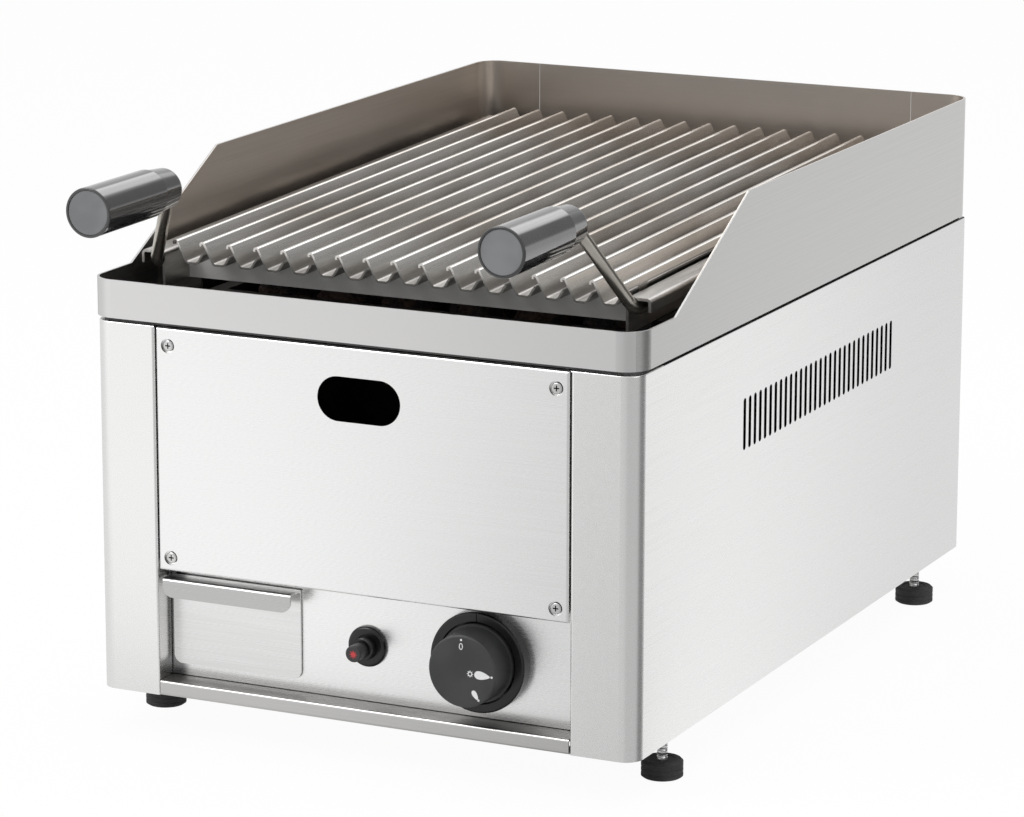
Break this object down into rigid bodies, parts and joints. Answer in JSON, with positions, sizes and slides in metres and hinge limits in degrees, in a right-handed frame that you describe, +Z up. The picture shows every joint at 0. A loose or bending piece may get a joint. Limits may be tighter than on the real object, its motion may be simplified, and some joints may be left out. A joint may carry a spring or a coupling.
{
  "type": "gas lava stone grill",
  "caption": "Counter-top gas lava stone grill: steel casing with splash guard, lift-off grate with two handles, grease drawer, gas knob, push igniter and levelling feet.",
  "frame": {"origin": "centre of the footprint, at the level of the feet's undersides", "axes": "+X to the right seen from the front, +Y from the front to the back, +Z up"},
  "size_m": [0.331, 0.5886, 0.3215],
  "materials": {
    "stainless": "brushed stainless sheet",
    "stainless_inner": "plain folded steel sheet inside the body",
    "stainless_bar": "heat-toned stainless bars",
    "screw_steel": "zinc-plated steel screws and nuts",
    "gasket_black": "matt black heat-proof strip",
    "firebox_steel": "dull aluminised steel",
    "lava_rock": "rough lava rock",
    "brass": "machined brass",
    "copper": "drawn copper tube",
    "ceramic": "glazed ceramic",
    "lead_black": "silicone-sleeved lead",
    "plastic_black": "black moulded plastic",
    "knob_grey": "dark grey matt plastic",
    "button_grey": "grey plastic",
    "grip_black": "black heat-resistant plastic",
    "cap_grey": "grey plastic caps",
    "rod_steel": "stainless rod",
    "foot_rubber": "black rubber pad on a zinc-plated stud",
    "spring_steel": "spring wire"
  },
  "bodies": {
    "casing": {"side_panel_left": "stainless", "side_panel_right": "stainless", "rear_panel": "stainless", "base_plate": "stainless", "front_panel": "stainless", "front_panel_rails": "stainless_inner", "front_panel_screws": "screw_steel", "rear_panel_screws": "screw_steel", "control_panel": "stainless", "deck_gasket": "gasket_black", "deck_plate": "stainless", "splash_guard": "stainless", "splash_guard_back": "stainless", "grease_trough": "stainless_inner", "drain_chute": "stainless_inner", "firebox": "firebox_steel", "stone_grate_ledges": "firebox_steel", "stone_grate": "firebox_steel", "lava_stones": "lava_rock", "heat_shield": "firebox_steel", "burner": "stainless_inner", "venturi": "stainless_inner", "injector": "brass", "feed_pipe": "copper", "gas_valve": "brass", "gas_pipe": "copper", "gas_inlet": "brass", "inlet_locknut": "brass", "thermocouple": "copper", "thermocouple_lead": "copper", "ignition_electrode": "ceramic", "ignition_lead": "lead_black", "piezo_igniter": "plastic_black", "igniter_bezel": "plastic_black", "igniter_nut": "screw_steel", "igniter_spring": "spring_steel", "knob_bezel": "plastic_black", "valve_spring": "spring_steel", "drawer_runners": "stainless_inner", "grate_supports": "stainless_inner", "foot_nuts": "screw_steel"},
    "valve_rod": {"valve_pushrod": "brass"},
    "knob_set": {"knob": "knob_grey", "valve_spindle": "brass"},
    "igniter_push_button": {"igniter_button": "button_grey"},
    "drawer": {"drawer_front": "stainless", "drawer_tray": "stainless_inner"},
    "grate": {"grate_bars": "stainless_bar", "grate_side_left": "stainless_bar", "grate_side_right": "stainless_bar", "grate_cross_plates": "stainless_bar", "handle_rod_left": "rod_steel", "handle_rod_right": "rod_steel", "grip_left": "grip_black", "grip_right": "grip_black", "grip_caps": "cap_grey"},
    "levelling_foot_front_left": {"foot_front_left": "foot_rubber"},
    "levelling_foot_front_right": {"foot_front_right": "foot_rubber"},
    "levelling_foot_rear_left": {"foot_rear_left": "foot_rubber"},
    "levelling_foot_rear_right": {"foot_rear_right": "foot_rubber"}
  },
  "joints": [
    {"name": "knob_push", "type": "slide", "parent": "casing", "child": "valve_rod", "axis": [0, 1, 0], "range_m": [0, 0.004], "stiffness_N_per_m": 1500, "springref_m": -0.004, "deforming": ["valve_spring"]},
    {"name": "knob_turn", "type": "hinge", "parent": "valve_rod", "child": "knob_set", "pos_m": [0.0669, -0.22275, 0.0654], "axis": [0, -1, 0], "range_deg": [0, 150]},
    {"name": "igniter_push", "type": "slide", "parent": "casing", "child": "igniter_push_button", "axis": [0, 1, 0], "range_m": [0, 0.005], "stiffness_N_per_m": 1500, "springref_m": -0.004, "deforming": ["igniter_spring"]},
    {"name": "drawer_slide", "type": "slide", "parent": "casing", "child": "drawer", "axis": [0, -1, 0], "range_m": [0, 0.3]},
    {"name": "grate_lift", "type": "slide", "parent": "casing", "child": "grate", "axis": [0, 0, 1], "range_m": [0, 0.07]},
    {"name": "foot_level_front_left", "type": "slide", "parent": "casing", "child": "levelling_foot_front_left", "axis": [0, 0, 1], "range_m": [-0.008, 0.008]},
    {"name": "foot_level_front_right", "type": "slide", "parent": "casing", "child": "levelling_foot_front_right", "axis": [0, 0, 1], "range_m": [-0.008, 0.008]},
    {"name": "foot_level_rear_left", "type": "slide", "parent": "casing", "child": "levelling_foot_rear_left", "axis": [0, 0, 1], "range_m": [-0.008, 0.008]},
    {"name": "foot_level_rear_right", "type": "slide", "parent": "casing", "child": "levelling_foot_rear_right", "axis": [0, 0, 1], "range_m": [-0.008, 0.008]}
  ]
}
